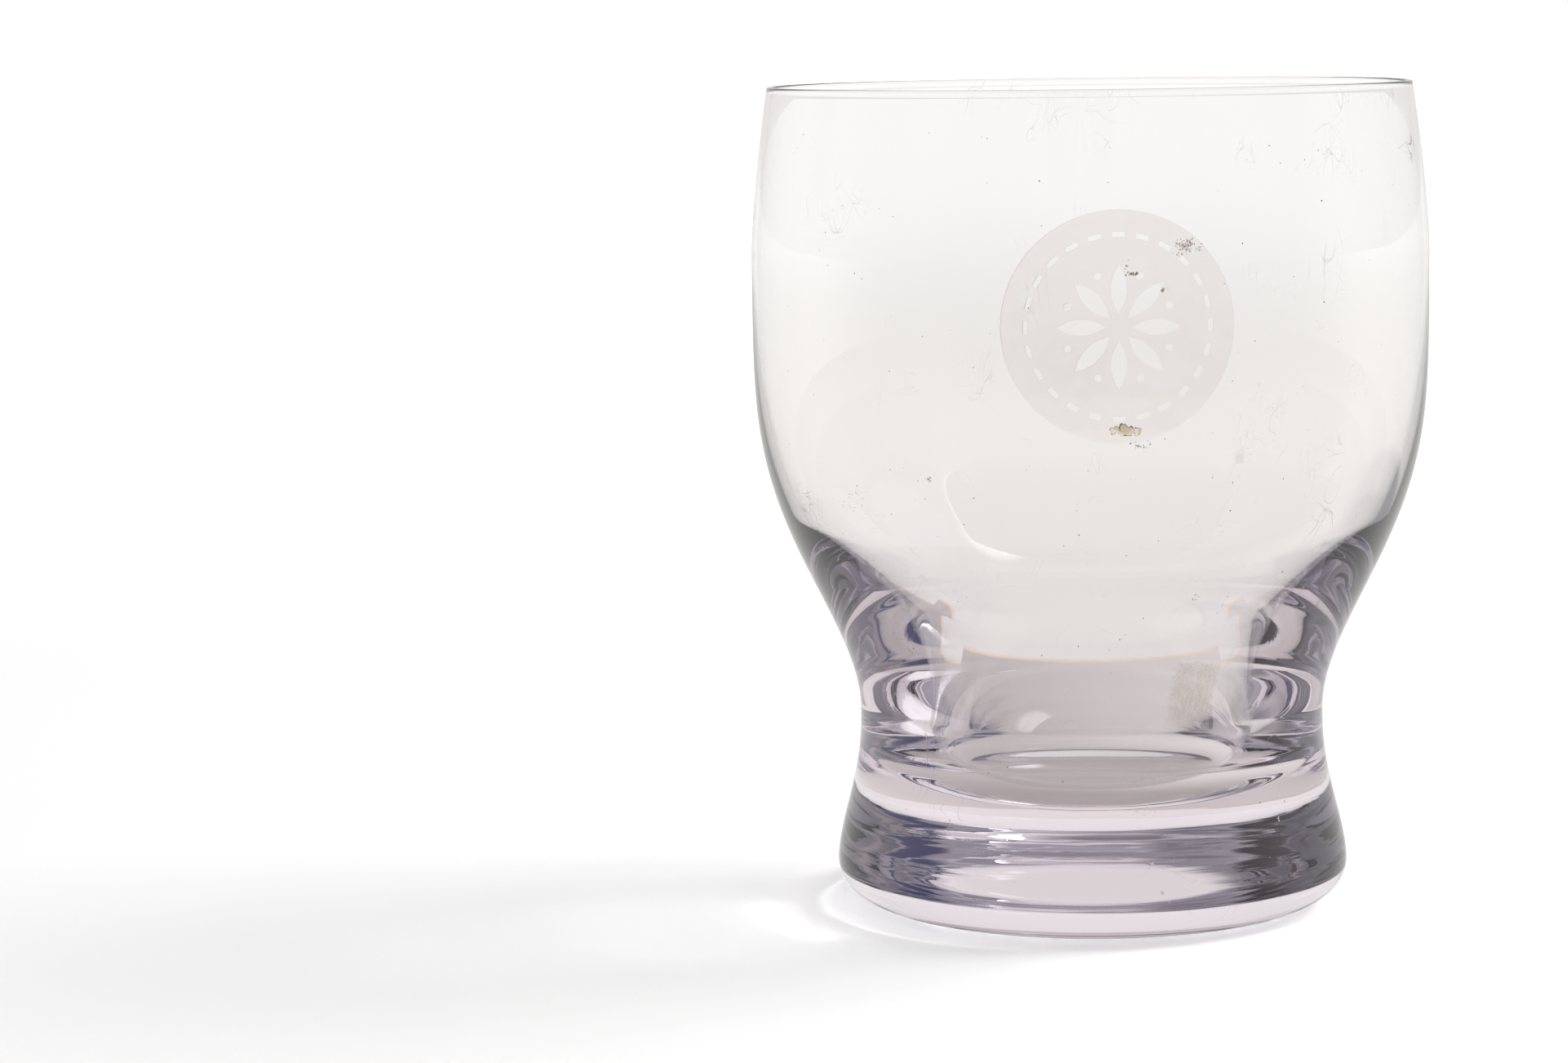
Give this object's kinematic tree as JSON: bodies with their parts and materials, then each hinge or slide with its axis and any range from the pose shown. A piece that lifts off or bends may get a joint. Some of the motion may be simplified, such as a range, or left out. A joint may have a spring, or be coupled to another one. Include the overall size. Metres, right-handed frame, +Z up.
{
  "type": "waisted glass tumbler",
  "caption": "Waisted tumbler of pale glass with a thin bowl, a thick waist, a heavy solid foot and a round matt engraving on the front, for holding a drink.",
  "frame": {"origin": "on the table, under the middle of the foot", "axes": "+Z up along the glass's axis of turning, -Y towards the engraved front, +X to the right seen from the front"},
  "size_m": [0.0738, 0.0738, 0.09],
  "materials": {
    "clear_glass": "fire-polished clear glass with a faint lilac-grey tint that deepens in the thick foot",
    "engraved_glass": "matt engraved surface, pale pinkish grey, with the motif left clear"
  },
  "bodies": {
    "root": {"bowl": "clear_glass", "waist": "clear_glass", "foot": "clear_glass", "engraved_badge": "engraved_glass"}
  },
  "joints": []
}
